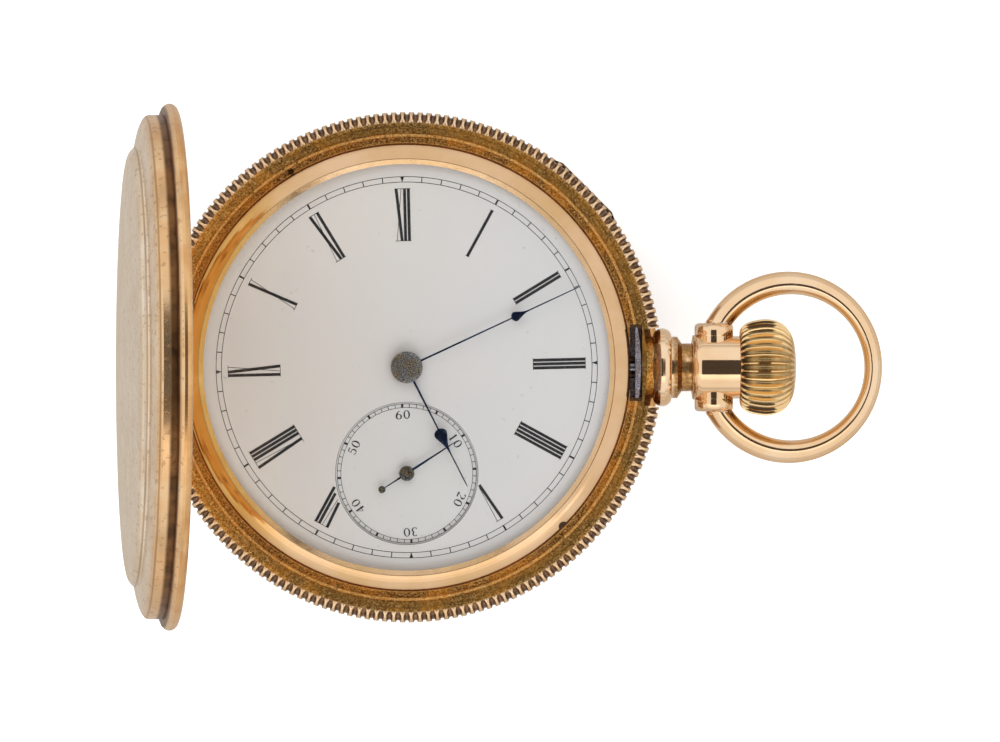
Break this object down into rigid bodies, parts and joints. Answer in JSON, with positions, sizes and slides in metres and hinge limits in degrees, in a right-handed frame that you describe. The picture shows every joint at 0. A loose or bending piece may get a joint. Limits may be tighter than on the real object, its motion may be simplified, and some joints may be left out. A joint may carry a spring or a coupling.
{
  "type": "full hunter pocket watch",
  "caption": "Stem-wound, lever-set hunter pocket watch with a coin-edge case, sprung front cover, hinged back and dust covers, bow, crown, glazed dial and a complete lever movement.",
  "frame": {"origin": "middle of the flat on the back cover, on the dial axis, where the watch rests", "axes": "+Z out of the dial, +X towards the pendant and crown (three o'clock), +Y towards twelve o'clock"},
  "size_m": [0.0829, 0.0556, 0.0669],
  "materials": {
    "gold": "polished gold case metal, worn soft",
    "aged_gold": "tarnished granular gold where the covers seat",
    "steel": "fine brushed steel",
    "blued_steel": "fire-blued polished steel",
    "enamel": "white vitreous enamel",
    "crystal_glass": "clear domed glass",
    "nickel": "striped nickel plate",
    "movement_brass": "gilt brass",
    "copper": "bare copper",
    "ruby": "polished synthetic ruby"
  },
  "bodies": {
    "case": {"case_middle": "aged_gold", "reeded_band": "gold", "pendant": "gold", "pendant_sleeve": "steel", "front_hinge_pin": "gold", "back_hinge_pin": "gold", "bezel": "gold", "crystal": "crystal_glass", "case_screws": "steel", "dial": "enamel", "seconds_dial": "enamel", "dial_feet": "copper", "pillar_plate": "nickel", "pillars": "movement_brass", "top_plate": "nickel", "barrel_bridge": "nickel", "movement_screws": "blued_steel", "balance_cock": "nickel", "plate_jewels": "ruby", "hairspring_stud": "steel", "click_spring": "steel", "setting_posts": "steel"},
    "front_cover": {"front_cover": "gold"},
    "back_cover": {"back_cover": "gold"},
    "cuvette": {"cuvette": "gold"},
    "bow": {"bow": "gold"},
    "winding": {"winding_pinion": "steel", "clutch": "steel"},
    "crown": {"crown": "gold", "winding_stem": "steel"},
    "crown_wheel": {"crown_wheel": "steel"},
    "ratchet": {"ratchet_wheel": "steel", "barrel_arbor": "steel"},
    "barrel": {"barrel": "movement_brass", "barrel_cap": "movement_brass", "mainspring": "steel"},
    "center_wheel": {"center_wheel": "movement_brass"},
    "third_wheel": {"third_wheel": "movement_brass"},
    "fourth_wheel": {"fourth_wheel": "movement_brass", "seconds_hand": "blued_steel"},
    "escape_wheel": {"escape_wheel": "movement_brass"},
    "pallet_fork": {"pallet_fork": "steel"},
    "balance": {"balance_wheel": "movement_brass", "balance_screws": "gold", "balance_staff": "steel", "roller": "steel", "hairspring": "blued_steel"},
    "regulator": {"regulator": "steel"},
    "minute_hand": {"cannon_pinion": "steel", "minute_hand": "blued_steel"},
    "hour_hand": {"hour_wheel": "movement_brass", "hour_hand": "blued_steel"},
    "minute_wheel": {"minute_wheel": "movement_brass"},
    "setting_wheel": {"setting_wheel": "steel"},
    "click": {"click": "steel"},
    "lock_spring": {"lock_spring": "steel"},
    "lift_spring": {"lift_spring": "steel"},
    "setting_lever": {"setting_lever": "steel"}
  },
  "joints": [
    {"name": "front_cover_hinge", "type": "hinge", "parent": "case", "child": "front_cover", "pos_m": [-0.02675, 0, 0.013], "axis": [0, 1, 0], "range_deg": [0, 83.3], "stiffness_Nm_per_rad": 0.004, "springref_deg": -45.84},
    {"name": "lift_spring_press", "type": "slide", "parent": "case", "child": "lift_spring", "axis": [0, 0, 1], "range_m": [-0.00051, 0.00001]},
    {"name": "back_cover_hinge", "type": "hinge", "parent": "case", "child": "back_cover", "pos_m": [-0.02675, 0, 0.0064], "axis": [0, 1, 0], "range_deg": [0, 95]},
    {"name": "cuvette_hinge", "type": "hinge", "parent": "case", "child": "cuvette", "pos_m": [-0.02675, 0, 0.0064], "axis": [0, 1, 0], "range_deg": [-0.5, 77]},
    {"name": "bow_swing", "type": "hinge", "parent": "case", "child": "bow", "pos_m": [0.03336, 0, 0.0097], "axis": [0, 1, 0], "range_deg": [-80, 80]},
    {"name": "winding_turn", "type": "hinge", "parent": "case", "child": "winding", "pos_m": [0.01955, 0, 0.0097], "axis": [1, 0, 0], "continuous": true},
    {"name": "crown_press", "type": "slide", "parent": "winding", "child": "crown", "axis": [-1, 0, 0], "range_m": [0, 0.00035], "stiffness_N_per_m": 150},
    {"name": "lock_spring_turn", "type": "hinge", "parent": "case", "child": "lock_spring", "pos_m": [0.0118, -0.02044, 0.009], "axis": [0, 0, 1], "range_deg": [-0.1, 1.1]},
    {"name": "crown_wheel_turn", "type": "hinge", "parent": "case", "child": "crown_wheel", "pos_m": [0.0174, 0, 0.007], "axis": [0, 0, 1], "continuous": true},
    {"name": "ratchet_turn", "type": "hinge", "parent": "case", "child": "ratchet", "pos_m": [0.00709, 0.00734, 0.006], "axis": [0, 0, 1], "continuous": true},
    {"name": "fourth_wheel_turn", "type": "hinge", "parent": "case", "child": "fourth_wheel", "pos_m": [0, -0.0115, 0.008], "axis": [0, 0, 1], "continuous": true},
    {"name": "third_wheel_turn", "type": "hinge", "parent": "case", "child": "third_wheel", "pos_m": [0.00449, -0.00728, 0.0084], "axis": [0, 0, 1], "continuous": true},
    {"name": "center_wheel_turn", "type": "hinge", "parent": "case", "child": "center_wheel", "pos_m": [0, 0, 0.009], "axis": [0, 0, 1], "continuous": true},
    {"name": "barrel_turn", "type": "hinge", "parent": "case", "child": "barrel", "pos_m": [0.00709, 0.00734, 0.008], "axis": [0, 0, 1], "continuous": true},
    {"name": "escape_wheel_turn", "type": "hinge", "parent": "case", "child": "escape_wheel", "pos_m": [-0.00479, -0.00927, 0.0082], "axis": [0, 0, 1], "continuous": true},
    {"name": "minute_hand_turn", "type": "hinge", "parent": "case", "child": "minute_hand", "pos_m": [0, 0, 0.013], "axis": [0, 0, 1], "continuous": true},
    {"name": "minute_wheel_turn", "type": "hinge", "parent": "case", "child": "minute_wheel", "pos_m": [0.00346, 0.002, 0.0112], "axis": [0, 0, 1], "continuous": true},
    {"name": "hour_hand_turn", "type": "hinge", "parent": "case", "child": "hour_hand", "pos_m": [0, 0, 0.012], "axis": [0, 0, 1], "continuous": true},
    {"name": "setting_wheel_turn", "type": "hinge", "parent": "case", "child": "setting_wheel", "pos_m": [0.00942, 0.00127, 0.0112], "axis": [0, 0, 1], "continuous": true},
    {"name": "balance_swing", "type": "hinge", "parent": "case", "child": "balance", "pos_m": [-0.00885, -0.00223, 0.005], "axis": [0, 0, 1], "range_deg": [-140, 140], "stiffness_Nm_per_rad": 0.000002},
    {"name": "pallet_rock", "type": "hinge", "parent": "case", "child": "pallet_fork", "pos_m": [-0.00675, -0.00587, 0.0085], "axis": [0, 0, 1], "range_deg": [-5, 5]},
    {"name": "click_turn", "type": "hinge", "parent": "case", "child": "click", "pos_m": [0.00464, 0.01713, 0.0055], "axis": [0, 0, 1], "range_deg": [0, 10]},
    {"name": "regulator_turn", "type": "hinge", "parent": "case", "child": "regulator", "pos_m": [-0.00885, -0.00223, 0.002], "axis": [0, 0, 1], "range_deg": [-20, 20]},
    {"name": "setting_lever_pull", "type": "slide", "parent": "case", "child": "setting_lever", "axis": [0.7022, -0.712, 0], "range_m": [0, 0.0015]}
  ],
  "couplings": [
    {"joint": "cuvette_hinge", "follows": "back_cover_hinge", "ratio": 0.8},
    {"joint": "lift_spring_press", "follows": "front_cover_hinge", "m_per_rad": -0.000341},
    {"joint": "lock_spring_turn", "follows": "crown_press", "rad_per_m": 48.5},
    {"joint": "crown_wheel_turn", "follows": "winding_turn", "ratio": 0.75},
    {"joint": "ratchet_turn", "follows": "winding_turn", "ratio": -0.41667},
    {"joint": "third_wheel_turn", "follows": "fourth_wheel_turn", "ratio": -0.13333},
    {"joint": "center_wheel_turn", "follows": "fourth_wheel_turn", "ratio": 0.016667},
    {"joint": "barrel_turn", "follows": "fourth_wheel_turn", "ratio": -0.0025641},
    {"joint": "escape_wheel_turn", "follows": "fourth_wheel_turn", "ratio": -10},
    {"joint": "minute_wheel_turn", "follows": "minute_hand_turn", "ratio": -0.33333},
    {"joint": "hour_hand_turn", "follows": "minute_hand_turn", "ratio": 0.083333},
    {"joint": "setting_wheel_turn", "follows": "minute_hand_turn", "ratio": 0.33333}
  ]
}
